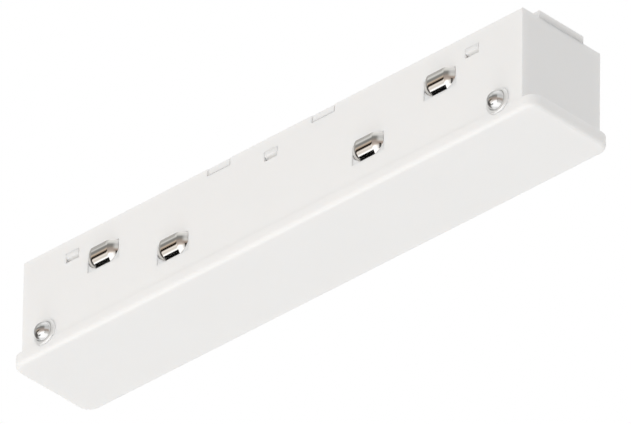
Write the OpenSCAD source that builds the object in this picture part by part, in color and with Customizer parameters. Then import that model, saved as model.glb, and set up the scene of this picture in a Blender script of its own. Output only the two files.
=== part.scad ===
// Straight connector for a lighting track: a long flanged housing with a snap-in lid, sprung side
// contacts joined in pairs by conductor bars, and sprung balls near the ends that hold it in the track.
// X runs along the connector, Z up from the flange face to the rib, the contact side faces -Y.

/* [Body] */
// Length of the body between its end faces
body_length = 121.4; // [120:0.1:150]
// Width of the body across its side faces
body_width = 20; // [20:0.2:24]
// Height of the walls above the flange
wall_height = 18.8; // [18.8:0.2:23]
// Thickness of the side walls
side_wall = 1.5; // [1.2:0.1:1.8]
// Thickness of the end walls
end_wall = 1.8; // [1.2:0.1:2.4]

/* [Flange] */
// Thickness of the flange, which is also the floor of the housing
flange_thickness = 2.5; // [2:0.1:4]
// How far the flange reaches past each end face
flange_overhang_end = 2.8; // [2:0.1:6]
// How far the flange reaches past each side face
flange_overhang_side = 0.1; // [0.1:0.05:0.3]
// Radius of the flange corners seen from below
flange_corner_radius = 2.6; // [1.5:0.1:4]
// Radius along the lower edge of the flange
flange_edge_radius = 0.8; // [0.4:0.1:1.4]

/* [Lid] */
// Thickness of the lid plate
lid_thickness = 1.5; // [1.2:0.1:1.8]
// Gap between the lid plate and the walls around it
lid_clearance = 0.1; // [0.05:0.05:0.2]
// Width of the raised rib along the lid
rib_width = 11.4; // [8:0.2:13]
// Height of the raised rib above the rim
rib_height = 1.6; // [1.2:0.1:3]
// Wall and top thickness of the hollow rib
rib_wall = 1.3; // [1:0.1:1.6]
// Size of the square posts under the lid corners
post_size = 2; // [1.5:0.1:2.4]

/* [Lid hooks] */
// Distance from an end face to the outer hooks
hook_inset = 12.1; // [11.6:0.1:12.2]
// Width of the windows that the hooks snap into
hook_window_width = 3.2; // [2.8:0.1:3.6]
// Height of the windows that the hooks snap into
hook_window_height = 1.95; // [1.6:0.05:2.2]
// Distance from the rim down to the top of the hook windows
hook_window_drop = 2.7; // [2.5:0.1:3]
// Thickness of the hook legs
hook_thickness = 1; // [0.8:0.1:1.4]
// Gap around a hook in its window
hook_gap = 0.1; // [0.1:0.05:0.3]
// Height of the straight face above the ramp of a hook
hook_face = 0.9; // [0.6:0.05:1.1]

/* [Rim notches] */
// Distance from the middle of the connector to each notch in the rim
notch_offset = 12.7; // [8:0.1:20]
// Width of a notch in the rim
notch_width = 5.5; // [4:0.1:7]
// Gap beside the lid tab that fills a notch
tab_gap = 0.15; // [0.1:0.05:0.5]
// How far the tab stays back from the side face
tab_recess = 0.1; // [0.1:0.05:0.6]

/* [Contact windows] */
// Distance from an end face to the upper, outer contacts
outer_contact_inset = 19.8; // [19.5:0.1:21]
// Distance from an end face to the lower, inner contacts
inner_contact_inset = 37; // [34:0.1:42]
// Height of the upper contacts above the flange
upper_contact_height = 11.75; // [11.5:0.05:12.25]
// Height of the lower contacts above the flange
lower_contact_height = 5.8; // [5:0.1:6]
// Width of a contact window
window_width = 7.5; // [7:0.1:7.6]
// Height of a contact window
window_height = 3.95; // [3.6:0.05:4]
// Thickness of the webs that close the lower corners of a window
web_thickness = 0.3; // [0.2:0.05:0.4]
// How far the webs stay back from the side face
web_recess = 0.1; // [0.05:0.05:0.15]
// Gap between a web and the contact
web_gap = 0.15; // [0.1:0.05:0.3]

/* [Contacts] */
// Gap between a contact and what guides it
contact_clearance = 0.1; // [0.05:0.05:0.15]
// How far a contact stands out of the side face
contact_reach = 1.25; // [1:0.05:1.5]
// Half length of the straight crest of a contact
contact_crest = 1.7; // [1.5:0.1:1.9]
// Radius of the bends at both ends of the crest
contact_bend_radius = 1.5; // [1.4:0.05:1.8]
// Radius of the rounded contact section
contact_section_radius = 3.2; // [2.9:0.1:4]
// Height of the crest line above the middle of the window
contact_crest_rise = 0.8; // [0.5:0.05:0.9]
// Thickness of metal left in front of the spring pocket of a contact
contact_front = 1.35; // [1.2:0.05:1.45]
// Thickness of metal above and below the spring pocket of a contact
contact_wall = 0.45; // [0.35:0.05:0.5]
// Length of the spring pocket in a contact
pocket_length = 4; // [3.4:0.1:4.2]
// How far the shoulder of a contact reaches past its window
shoulder_lip = 0.6; // [0.4:0.05:0.7]
// Thickness of the shoulder of a contact
shoulder_thickness = 0.5; // [0.4:0.05:0.8]

/* [Contact holders] */
// Thickness of the holder around the shoulder of a contact
holder_wall = 0.7; // [0.5:0.05:0.75]
// Depth of a holder behind the side wall
holder_depth = 4.9; // [4.5:0.1:5.2]
// Thickness of the back of a holder
holder_back = 1.4; // [1:0.1:2]
// How much wider than its spring the hole through a holder is
spring_hole_gap = 0.3; // [0.2:0.05:0.4]
// Thickness of the ribs that guide and carry a holder
seat_rib = 1; // [0.8:0.1:1.1]
// Gap between a holder and the ribs beside it
seat_clearance = 0.05; // [0.05:0.05:0.1]

/* [Conductor bars] */
// Thickness of a conductor bar
bar_thickness = 0.5; // [0.4:0.1:0.8]
// Height of a conductor bar
bar_height = 3; // [3:0.1:3.6]
// How far a bar runs past the middle of its contacts
bar_overrun = 4.2; // [3:0.1:5]
// Thickness of the posts behind the bars
bar_post_depth = 1.5; // [1.2:0.1:1.8]
// Width of the posts behind the bars
bar_post_width = 4; // [3:0.1:5]

/* [Ball plungers] */
// Distance from an end face to the plungers
plunger_inset = 5.75; // [5.6:0.05:5.8]
// Height of the plungers above the flange
plunger_height = 1.65; // [1.6:0.05:2.2]
// Outer diameter of a plunger sleeve
sleeve_diameter = 4.6; // [4.5:0.05:4.75]
// Length of a plunger sleeve behind the side face
sleeve_length = 6; // [5.6:0.1:6.4]
// Thickness of the closed end of a sleeve
sleeve_end = 0.6; // [0.4:0.1:0.8]
// Gap between a sleeve and its hole
sleeve_clearance = 0.02; // [0.01:0.01:0.04]
// Diameter of the collar in front of a sleeve
collar_diameter = 5; // [4.9:0.05:5.4]
// How far the collar stands out of the side face
collar_height = 0.5; // [0.4:0.05:0.6]
// Radius of the outer edge of the collar
collar_edge_radius = 0.3; // [0.1:0.05:0.3]
// Gap between the collar and the recess that it sits in
collar_clearance = 0.05; // [0.05:0.05:0.1]
// Diameter of a plunger ball
ball_diameter = 3.9; // [3.8:0.05:3.95]
// How far a ball stands out of the side face
ball_reach = 2.05; // [1.9:0.05:2.15]
// Gap around a ball in its sleeve
ball_clearance = 0.05; // [0.02:0.01:0.08]
// Thickness of the boss around a sleeve
boss_wall = 1.2; // [1:0.1:1.3]
// Thickness of the closed end of a boss
boss_end = 0.6; // [0.5:0.1:1]

/* [Springs] */
// Outer diameter of a contact spring
contact_spring_diameter = 2.5; // [2.2:0.1:2.6]
// Wire diameter of a contact spring
contact_spring_wire = 0.3; // [0.25:0.05:0.35]
// Number of turns of a contact spring
contact_spring_turns = 5; // [4:1:7]
// Outer diameter of a ball spring
ball_spring_diameter = 3.2; // [2.9:0.1:3.4]
// Wire diameter of a ball spring
ball_spring_wire = 0.35; // [0.3:0.05:0.4]
// Number of turns of a ball spring
ball_spring_turns = 4; // [3:1:5]
// Gap left at both ends of a spring
spring_clearance = 0.03; // [0.02:0.01:0.05]

/* [Hidden] */
$fn = 48;

white_plastic = [0.93, 0.93, 0.92];
lid_plastic = [0.9, 0.9, 0.89];
holder_plastic = [0.86, 0.86, 0.84];
nickel = [0.75, 0.74, 0.7];
spring_steel = [0.6, 0.6, 0.62];
copper = [0.8, 0.55, 0.38];
steel = [0.78, 0.78, 0.8];

half_length = body_length / 2;
half_width = body_width / 2;
floor_z = flange_thickness;
rim_z = floor_z + wall_height;
ledge_z = rim_z - lid_thickness;
inner_half_length = half_length - end_wall;
inner_half_width = half_width - side_wall;
cut_margin = 1;

upper_z = floor_z + upper_contact_height;
lower_z = floor_z + lower_contact_height;
outer_x = half_length - outer_contact_inset;
inner_x = half_length - inner_contact_inset;
contact_places = [[-outer_x, upper_z], [-inner_x, lower_z], [inner_x, lower_z], [outer_x, upper_z]];

hook_x = half_length - hook_inset;
hook_places = [-hook_x, 0, hook_x];
hook_window_top = rim_z - hook_window_drop;
hook_window_bottom = hook_window_top - hook_window_height;
notch_places = [-notch_offset, notch_offset];

contact_width = window_width - 2 * contact_clearance;
contact_height = window_height - 2 * contact_clearance;
shoulder_width = contact_width + 2 * shoulder_lip;
shoulder_height = contact_height + 2 * shoulder_lip;
shoulder_front_y = contact_clearance - inner_half_width;
shoulder_back_y = shoulder_front_y + shoulder_thickness;
contact_pocket_y = contact_front - contact_reach - half_width;
contact_pocket_height = contact_height - 2 * contact_wall;
contact_bend_axis = contact_bend_radius - contact_reach;
contact_nose_y = shoulder_front_y + shoulder_thickness / 2;
contact_depth = contact_nose_y + half_width - contact_bend_axis;
contact_leg_angle = 45;
core_overlap = 0.06;

web_back = web_recess + web_thickness;
web_steps = 6;
web_top_reach = (window_width / 2 - contact_crest) * sin(contact_leg_angle)
    + (contact_bend_axis - web_recess) * cos(contact_leg_angle) - web_gap;
web_top_z = contact_crest_rise - sqrt(max(0,
    pow(contact_section_radius, 2) - pow(web_top_reach - contact_bend_radius + contact_section_radius, 2)));

guide_width = shoulder_width + 2 * contact_clearance;
guide_height = shoulder_height + 2 * contact_clearance;
holder_width = guide_width + 2 * holder_wall;
holder_height = guide_height + 2 * holder_wall;
holder_back_y = holder_depth - inner_half_width;
holder_pocket_y = holder_back_y - holder_back;
spring_hole_diameter = contact_spring_diameter + spring_hole_gap;

bar_back_y = holder_back_y + bar_thickness;
bar_post_back_y = bar_back_y + bar_post_depth;
upper_bar_half = outer_x + bar_overrun;
lower_bar_half = inner_x + bar_overrun;

plunger_x = half_length - plunger_inset;
plunger_z = floor_z + plunger_height;
plunger_places = [[-plunger_x, 1], [plunger_x, 1], [-plunger_x, -1], [plunger_x, -1]];
sleeve_back_y = sleeve_length - half_width;
ball_radius = ball_diameter / 2;
ball_y = ball_radius - ball_reach - half_width;
ball_bore_radius = ball_radius + ball_clearance;
boss_radius = sleeve_diameter / 2 + boss_wall;
boss_back_y = sleeve_back_y + boss_end;
ball_spring_mean = (ball_spring_diameter - ball_spring_wire) / 2;
ball_seat_depth = sqrt(pow(ball_radius, 2) - pow(ball_spring_mean, 2));
wire_sides = 6;
turn_steps = 10;

// Box given by its low and high corners
module box(low, high) {
    translate(low) cube(high - low);
}

// Cylinder along Y from y0 to y1 at the given X and Z
module bar_y(x, z, r, y0, y1) {
    translate([x, y1, z]) rotate([90, 0, 0]) cylinder(r = r, h = y1 - y0);
}

// Draws its children on the front side for side 1 and mirrored on the back side for side -1
module on_side(side) {
    mirror([0, side < 0 ? 1 : 0, 0]) children();
}

// Edge of the flange in section: r runs outwards from the corner centre, the lower corner is rounded
module flange_edge_section() {
    difference() {
        square([flange_corner_radius, flange_thickness]);
        translate([flange_corner_radius - flange_edge_radius, 0]) difference() {
            translate([0, -cut_margin]) square([flange_edge_radius + cut_margin, flange_edge_radius + cut_margin]);
            translate([0, flange_edge_radius]) circle(r = flange_edge_radius);
        }
    }
}

// Straight stretch of the flange edge along +X, its outer side towards -Y
module flange_strip(length) {
    rotate([90, 0, -90]) translate([0, 0, -length / 2]) linear_extrude(length) flange_edge_section();
}

module flange_plate() {
    corner_x = half_length + flange_overhang_end - flange_corner_radius;
    corner_y = half_width + flange_overhang_side - flange_corner_radius;
    box([-corner_x, -corner_y, 0], [corner_x, corner_y, flange_thickness]);
    for (turn = [0, 1]) rotate([0, 0, 180 * turn]) {
        translate([0, -corner_y, 0]) flange_strip(2 * corner_x);
        translate([corner_x, 0, 0]) rotate([0, 0, 90]) flange_strip(2 * corner_y);
        translate([corner_x, corner_y, 0]) rotate_extrude(angle = 90) flange_edge_section();
        translate([corner_x, -corner_y, 0]) rotate([0, 0, -90]) rotate_extrude(angle = 90) flange_edge_section();
    }
}

// Ribs that carry one contact holder, and the post behind its conductor bar
module holder_seat(x, z) {
    rib_x = holder_width / 2 + seat_clearance;
    base_z = z - holder_height / 2;
    for (side = [-1, 1]) {
        translate([x + side * holder_width / 4, 0, 0])
            box([-seat_rib / 2, -inner_half_width, floor_z], [seat_rib / 2, holder_back_y, base_z]);
        translate([x + side * (rib_x + seat_rib / 2), 0, 0])
            box([-seat_rib / 2, -inner_half_width, floor_z], [seat_rib / 2, holder_back_y, z]);
    }
    bar_post(x, z);
}

// Post from the floor that backs a conductor bar
module bar_post(x, z) {
    box([x - bar_post_width / 2, bar_back_y, floor_z], [x + bar_post_width / 2, bar_post_back_y, z + bar_height / 2]);
}

module housing() {
    color(white_plastic) difference() {
        union() {
            flange_plate();
            difference() {
                box([-half_length, -half_width, floor_z / 2], [half_length, half_width, rim_z]);
                box([-inner_half_length, -inner_half_width, floor_z],
                    [inner_half_length, inner_half_width, rim_z + cut_margin]);
            }
            for (place = contact_places) holder_seat(place[0], place[1]);
            bar_post(0, upper_z);
            for (sx = [-1, 1], sy = [-1, 1]) lid_post(sx, sy);
            for (place = plunger_places) on_side(place[1])
                bar_y(place[0], plunger_z, boss_radius, -inner_half_width - side_wall / 2, boss_back_y);
        }
        for (place = contact_places) translate([place[0], 0, place[1]]) contact_window();
        for (sy = [-1, 1], x = hook_places)
            box([x - hook_window_width / 2, sy * half_width - side_wall - cut_margin / 2, hook_window_bottom],
                [x + hook_window_width / 2, sy * half_width + side_wall + cut_margin / 2, hook_window_top]);
        for (sy = [-1, 1], x = notch_places)
            box([x - notch_width / 2, sy * half_width - side_wall - cut_margin / 2, ledge_z],
                [x + notch_width / 2, sy * half_width + side_wall + cut_margin / 2, rim_z + cut_margin]);
        for (place = plunger_places) on_side(place[1]) {
            bar_y(place[0], plunger_z, sleeve_diameter / 2 + sleeve_clearance,
                -half_width - cut_margin, sleeve_back_y);
            bar_y(place[0], plunger_z, collar_diameter / 2 + collar_clearance, -half_width - cut_margin, -half_width);
        }
    }
}

// How far the contact's section stands out of the bend axis at a height above the window's middle
function section_reach(z) = contact_bend_radius - contact_section_radius
    + sqrt(pow(contact_section_radius, 2) - pow(z - contact_crest_rise, 2));

// Web in one lower corner of a window, just behind the side face, its edge parallel to the sloping leg
module window_web() {
    low_z = -contact_height / 2;
    edge = [for (i = [0:web_steps]) let (z = low_z + (web_top_z - low_z) * i / web_steps) [section_reach(z) + web_gap, z]];
    intersection() {
        box([0, web_recess - half_width, low_z - cut_margin], [window_width, web_back - half_width, web_top_z]);
        translate([contact_crest, contact_bend_axis - half_width, 0])
            rotate([0, 0, contact_leg_angle - 90]) rotate([90, 0, 0]) linear_extrude(2 * window_width, center = true)
                polygon(concat([[edge[0][0], low_z - cut_margin]], edge,
                    [[window_width, web_top_z], [window_width, low_z - cut_margin]]));
    }
}

// Opening for a contact: a rectangle through the wall, with a web left in each lower corner
module contact_window() {
    difference() {
        translate([0, -half_width, 0]) cube([window_width, 4 * side_wall, window_height], center = true);
        for (side = [0, 1]) mirror([side, 0, 0]) window_web();
    }
}

// Corner post that carries the lid plate
module lid_post(sx, sy) {
    low_x = sx > 0 ? inner_half_length - post_size : -inner_half_length - end_wall / 2;
    low_y = sy > 0 ? inner_half_width - post_size : -inner_half_width - side_wall / 2;
    translate([low_x, low_y, floor_z / 2])
        cube([post_size + end_wall / 2, post_size + side_wall / 2, ledge_z - floor_z / 2]);
}

// Hook leg with its barb in section: Y towards the wall is negative, Z up
module hook_section() {
    leg_y = lid_clearance - inner_half_width;
    barb_top = hook_window_top - hook_gap / 2;
    barb_bottom = hook_window_bottom + hook_gap;
    polygon([
        [leg_y, ledge_z + lid_thickness / 2],
        [leg_y, barb_top],
        [hook_gap / 4 - half_width, barb_top],
        [hook_gap / 4 - half_width, barb_top - hook_face],
        [leg_y, barb_bottom],
        [leg_y + hook_thickness, barb_bottom],
        [leg_y + hook_thickness, ledge_z + lid_thickness / 2]
    ]);
}

module lid_hook(x) {
    hook_width = hook_window_width - 2 * hook_gap;
    translate([x - hook_width / 2, 0, 0]) rotate([90, 0, 90]) linear_extrude(hook_width) hook_section();
}

module top_cover() {
    plate_half_length = inner_half_length - lid_clearance;
    plate_half_width = inner_half_width - lid_clearance;
    tab_half = notch_width / 2 - tab_gap;
    rib_half = rib_width / 2;
    hollow_half_length = inner_half_length - rib_wall;
    color(lid_plastic) difference() {
        union() {
            box([-plate_half_length, -plate_half_width, ledge_z], [plate_half_length, plate_half_width, rim_z]);
            box([-half_length, -rib_half, rim_z], [half_length, rib_half, rim_z + rib_height]);
            for (side = [-1, 1]) on_side(side) {
                for (x = notch_places)
                    box([x - tab_half, tab_recess - half_width, ledge_z + lid_clearance], [x + tab_half, 0, rim_z]);
                for (x = hook_places) lid_hook(x);
            }
        }
        box([-hollow_half_length, rib_wall - rib_half, ledge_z - cut_margin],
            [hollow_half_length, rib_half - rib_wall, rim_z + rib_height - rib_wall]);
    }
}

// Rounded outer side of a contact in section: x outwards from the bend axis, y up from the window middle
module contact_section() {
    intersection() {
        translate([contact_bend_radius - contact_section_radius, contact_crest_rise])
            circle(r = contact_section_radius);
        translate([0, -contact_height / 2]) square([contact_bend_radius + cut_margin, contact_height]);
    }
}

// Metal behind the bend axes, between the sloping legs; it reaches a little way into the legs
module contact_core() {
    front_half = contact_crest + core_overlap;
    back_half = front_half + contact_depth / tan(contact_leg_angle);
    translate([0, 0, -contact_height / 2]) linear_extrude(contact_height)
        polygon([[-front_half, 0], [front_half, 0], [back_half, contact_depth], [-back_half, contact_depth]]);
}

// Nose of a contact: a straight crest, two bends and two legs that slope back into the shoulder
module contact_nose() {
    leg_length = 2 * contact_bend_radius;
    contact_core();
    rotate([90, 0, -90]) translate([0, 0, -contact_crest]) linear_extrude(2 * contact_crest) contact_section();
    for (side = [0, 1]) mirror([side, 0, 0]) translate([contact_crest, 0, 0]) {
        rotate([0, 0, -90]) rotate_extrude(angle = contact_leg_angle) contact_section();
        rotate([0, 0, contact_leg_angle]) rotate([90, 0, -90]) translate([0, 0, -leg_length])
            linear_extrude(leg_length) contact_section();
    }
}

module contact(place) {
    color(nickel) translate([place[0], 0, place[1]]) difference() {
        union() {
            intersection() {
                translate([0, contact_bend_axis - half_width, 0]) contact_nose();
                box([-contact_width / 2, -half_width - contact_reach - cut_margin, -contact_height / 2],
                    [contact_width / 2, contact_nose_y, contact_height / 2]);
            }
            box([-shoulder_width / 2, shoulder_front_y, -shoulder_height / 2],
                [shoulder_width / 2, shoulder_back_y, shoulder_height / 2]);
        }
        box([-pocket_length / 2, contact_pocket_y, -contact_pocket_height / 2],
            [pocket_length / 2, shoulder_back_y + cut_margin, contact_pocket_height / 2]);
    }
}

module contact_holder(place) {
    color(holder_plastic) translate([place[0], 0, place[1]]) difference() {
        box([-holder_width / 2, -inner_half_width, -holder_height / 2],
            [holder_width / 2, holder_back_y, holder_height / 2]);
        box([-guide_width / 2, -inner_half_width - cut_margin, -guide_height / 2],
            [guide_width / 2, holder_pocket_y, guide_height / 2]);
        bar_y(0, 0, spring_hole_diameter / 2, holder_pocket_y - cut_margin, holder_back_y + cut_margin);
    }
}

// Conductor bar behind the holders of one height
module busbar(half, z) {
    color(copper) box([-half, holder_back_y, z - bar_height / 2], [half, bar_back_y, z + bar_height / 2]);
}

function coil_point(mean, wire, turns, length, step, side) =
    let (
        turn_angle = 360 * step / turn_steps,
        wire_angle = 360 * side / wire_sides,
        r = mean + wire / 2 * cos(wire_angle),
        y = wire / 2 + (length - wire) * step / (turns * turn_steps) + wire / 2 * sin(wire_angle)
    )
    [r * cos(turn_angle), y, r * sin(turn_angle)];

// Round wire coil along +Y that fills the given length
module coil(diameter, wire, turns, length) {
    mean = (diameter - wire) / 2;
    rings = turns * turn_steps;
    points = [for (i = [0:rings], j = [0:wire_sides - 1]) coil_point(mean, wire, turns, length, i, j)];
    walls = [
        for (i = [0:rings - 1], j = [0:wire_sides - 1], half = [0, 1])
            let (
                a = i * wire_sides + j,
                b = i * wire_sides + (j + 1) % wire_sides,
                c = a + wire_sides,
                d = b + wire_sides
            )
            half == 0 ? [a, b, d] : [a, d, c]
    ];
    first = [for (j = [wire_sides - 1:-1:0]) j];
    last = [for (j = [0:wire_sides - 1]) rings * wire_sides + j];
    polyhedron(points = points, faces = concat([first], walls, [last]));
}

module contact_spring(place) {
    start_y = contact_pocket_y + spring_clearance;
    color(spring_steel) translate([place[0], start_y, place[1]])
        coil(contact_spring_diameter, contact_spring_wire, contact_spring_turns,
            holder_back_y - spring_clearance - start_y);
}

// Sleeve in section: x is the distance from the axis, y runs from the closed end at 0 to the front
module sleeve_section() {
    length = sleeve_length + collar_height;
    edge = collar_diameter / 2 - collar_edge_radius;
    ball_centre = sleeve_back_y - ball_y;
    difference() {
        union() {
            square([sleeve_diameter / 2, length - collar_edge_radius]);
            translate([0, sleeve_length]) square([collar_diameter / 2, collar_height]);
        }
        translate([edge, length - collar_edge_radius]) difference() {
            square(collar_edge_radius + cut_margin);
            circle(r = collar_edge_radius);
        }
        translate([-cut_margin, sleeve_end]) square([cut_margin + ball_bore_radius, ball_centre - sleeve_end]);
        translate([0, ball_centre]) circle(r = ball_bore_radius);
        translate([-cut_margin, ball_centre]) square([cut_margin + ball_clearance, length]);
        translate([-2 * length, -length]) square([2 * length, 3 * length]);
    }
}

module plunger_sleeve(place) {
    color(steel) on_side(place[1]) translate([place[0], sleeve_back_y, plunger_z])
        rotate([90, 0, 0]) rotate_extrude() sleeve_section();
}

module plunger_ball(place) {
    color(steel) on_side(place[1]) translate([place[0], ball_y, plunger_z]) sphere(r = ball_radius);
}

module plunger_spring(place) {
    start_y = ball_y + ball_seat_depth + spring_clearance;
    color(spring_steel) on_side(place[1]) translate([place[0], start_y, plunger_z])
        coil(ball_spring_diameter, ball_spring_wire, ball_spring_turns,
            sleeve_back_y - sleeve_end - spring_clearance - start_y);
}

housing();
top_cover();
contact_holder(contact_places[0]);  // contact_holder_1
contact_holder(contact_places[1]);  // contact_holder_2
contact_holder(contact_places[2]);  // contact_holder_3
contact_holder(contact_places[3]);  // contact_holder_4
contact(contact_places[0]);  // contact_1
contact(contact_places[1]);  // contact_2
contact(contact_places[2]);  // contact_3
contact(contact_places[3]);  // contact_4
contact_spring(contact_places[0]);  // contact_spring_1
contact_spring(contact_places[1]);  // contact_spring_2
contact_spring(contact_places[2]);  // contact_spring_3
contact_spring(contact_places[3]);  // contact_spring_4
busbar(upper_bar_half, upper_z);  // upper_busbar
busbar(lower_bar_half, lower_z);  // lower_busbar
plunger_sleeve(plunger_places[0]);  // plunger_sleeve_1
plunger_sleeve(plunger_places[1]);  // plunger_sleeve_2
plunger_sleeve(plunger_places[2]);  // plunger_sleeve_3
plunger_sleeve(plunger_places[3]);  // plunger_sleeve_4
plunger_ball(plunger_places[0]);  // plunger_ball_1
plunger_ball(plunger_places[1]);  // plunger_ball_2
plunger_ball(plunger_places[2]);  // plunger_ball_3
plunger_ball(plunger_places[3]);  // plunger_ball_4
plunger_spring(plunger_places[0]);  // plunger_spring_1
plunger_spring(plunger_places[1]);  // plunger_spring_2
plunger_spring(plunger_places[2]);  // plunger_spring_3
plunger_spring(plunger_places[3]);  // plunger_spring_4
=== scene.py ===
"""Dressed model of a straight connector for lighting tracks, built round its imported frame.

Sizes are in millimetres and angles in degrees, unless a line says otherwise.
"""
import logging
import math
from collections.abc import Callable
from dataclasses import dataclass, field
from enum import Enum

import bmesh
import bpy
from mathutils import Matrix, Vector


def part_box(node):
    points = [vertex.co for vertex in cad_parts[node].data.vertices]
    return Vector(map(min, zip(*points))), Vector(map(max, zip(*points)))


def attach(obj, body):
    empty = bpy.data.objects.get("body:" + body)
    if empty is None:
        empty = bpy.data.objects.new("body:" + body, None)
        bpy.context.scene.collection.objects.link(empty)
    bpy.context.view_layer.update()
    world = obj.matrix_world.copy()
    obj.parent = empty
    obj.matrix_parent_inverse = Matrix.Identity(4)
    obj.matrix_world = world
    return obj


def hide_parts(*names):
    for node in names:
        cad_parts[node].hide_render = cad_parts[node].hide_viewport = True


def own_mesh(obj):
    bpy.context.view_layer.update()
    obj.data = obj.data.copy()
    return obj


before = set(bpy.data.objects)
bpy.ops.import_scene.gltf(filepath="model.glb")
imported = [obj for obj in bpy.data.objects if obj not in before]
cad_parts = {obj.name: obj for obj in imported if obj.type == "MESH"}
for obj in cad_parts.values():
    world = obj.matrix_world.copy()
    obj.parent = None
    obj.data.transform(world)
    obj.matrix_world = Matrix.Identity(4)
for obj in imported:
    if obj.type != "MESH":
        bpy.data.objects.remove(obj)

LOG = logging.getLogger("connector")
MM = 0.001
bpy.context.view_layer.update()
NUMBERS = (1, 2, 3, 4)
FRONT_PLUNGERS = (1, 2)
WHITE = "#FFFFFF"
MATHS = "ShaderNodeMath"
MAP_RANGE = "ShaderNodeMapRange"
Pair = tuple[float, float]
Triple = tuple[float, float, float]
Tones = tuple[tuple[float, str], ...]


def linear(hex_colour: str) -> tuple[float, float, float, float]:
    """Turn an sRGB hex colour into linear RGBA.

    Args:
        hex_colour: Colour as "#RRGGBB".

    Returns:
        Red, green, blue and full alpha in linear light.
    """
    def channel(start: int) -> float:
        """Return one linear channel that starts at the given character."""
        value = int(hex_colour[start:start + 2], 16) / 255
        return value / 12.92 if value <= 0.04045 else ((value + 0.055) / 1.055) ** 2.4
    return channel(1), channel(3), channel(5), 1.0


def add_node(tree: bpy.types.NodeTree, kind: str, feeds: dict[int | str, object] | None = None,
             **settings: object) -> bpy.types.Node:
    """Add a node with its settings, values and links.

    Args:
        tree: Node tree that gets the node.
        kind: Type name of the node.
        feeds: What each input gets, by name or index: a value, an output socket, or a node that gives the
            first of its outputs that are in use.
        **settings: Properties of the node itself.

    Returns:
        The new node.
    """
    node = tree.nodes.new(kind)
    for name, value in settings.items():
        setattr(node, name, value)
    for key, value in (feeds or {}).items():
        if isinstance(value, bpy.types.Node):
            value = next(socket for socket in value.outputs if socket.enabled)
        if isinstance(value, bpy.types.NodeSocket):
            tree.links.new(value, node.inputs[key])
        else:
            node.inputs[key].default_value = value
    return node


def new_material(name: str) -> tuple[bpy.types.Material, bpy.types.NodeTree]:
    """Make a node material whose tree is empty.

    Args:
        name: Name of the material.

    Returns:
        The material and its node tree.
    """
    material = bpy.data.materials.new(name)
    material.use_nodes = True
    material.node_tree.nodes.clear()
    return material, material.node_tree


def grains(tree: bpy.types.NodeTree, size: Triple, detail: float) -> bpy.types.NodeSocket:
    """Make a noise pattern whose grains have a real size.

    Args:
        tree: Node tree that gets the pattern.
        size: Grain size along X, Y and Z.
        detail: Octaves of the noise.

    Returns:
        The socket with the pattern, from 0 to 1.
    """
    place = add_node(tree, "ShaderNodeTexCoord")
    scale = add_node(tree, "ShaderNodeMapping", {
        "Vector": place.outputs["Object"], "Scale": [1 / (length * MM) for length in size],
    })
    return add_node(tree, "ShaderNodeTexNoise", {
        "Vector": scale, "Scale": 1.0, "Detail": detail, "Roughness": 0.5,
    }).outputs["Fac"]


@dataclass(frozen=True)
class MouldedPlastic:
    """Injection-moulded plastic: satin, with the faint grain of the mould and a hardly uneven tone.

    Attributes:
        name: Name of the material.
        light: Its lighter tone.
        dark: Its darker tone.
        roughness: Mean roughness.
        ior: Index of refraction.
        grain: Width of the mould's grain.
        relief: Depth of that grain.
        gloss_spread: How far the roughness strays from its mean.
        bump: Strength of the grain's relief.
        cloud: Width of the patches of lighter and darker tone.
        glow: Share of the light that goes into the plastic and comes out again.
        glow_depth: How deep it goes in.
        glow_reach: How far red, green and blue go, as shares of that depth.
    """

    name: str
    light: str
    dark: str
    roughness: float
    ior: float
    grain: float
    relief: float
    gloss_spread: float = 0.04
    bump: float = 0.35
    cloud: float = 14.0
    glow: float = 0.6
    glow_depth: float = 1.0
    glow_reach: Triple = (1.0, 0.95, 0.9)

    def material(self) -> bpy.types.Material:
        """Build the material.

        Returns:
            The finished material.
        """
        material, tree = new_material(self.name)
        cloud = grains(tree, (self.cloud, self.cloud, self.cloud), detail=2.0)
        tone = add_node(tree, "ShaderNodeMix", {
            "Factor": cloud, "A": linear(self.dark), "B": linear(self.light),
        }, data_type="RGBA")
        skin = grains(tree, (self.grain, self.grain, self.grain), detail=3.0)
        gloss = add_node(tree, MAP_RANGE, {
            "Value": skin, "To Min": self.roughness - self.gloss_spread,
            "To Max": self.roughness + self.gloss_spread,
        })
        bump = add_node(tree, "ShaderNodeBump", {
            "Height": skin, "Strength": self.bump, "Distance": self.relief * MM,
        })
        shader = add_node(tree, "ShaderNodeBsdfPrincipled", {
            "Base Color": tone, "Roughness": gloss, "IOR": self.ior, "Normal": bump,
            "Subsurface Weight": self.glow, "Subsurface Radius": self.glow_reach,
            "Subsurface Scale": self.glow_depth * MM,
        })
        add_node(tree, "ShaderNodeOutputMaterial", {"Surface": shader})
        return material


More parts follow.
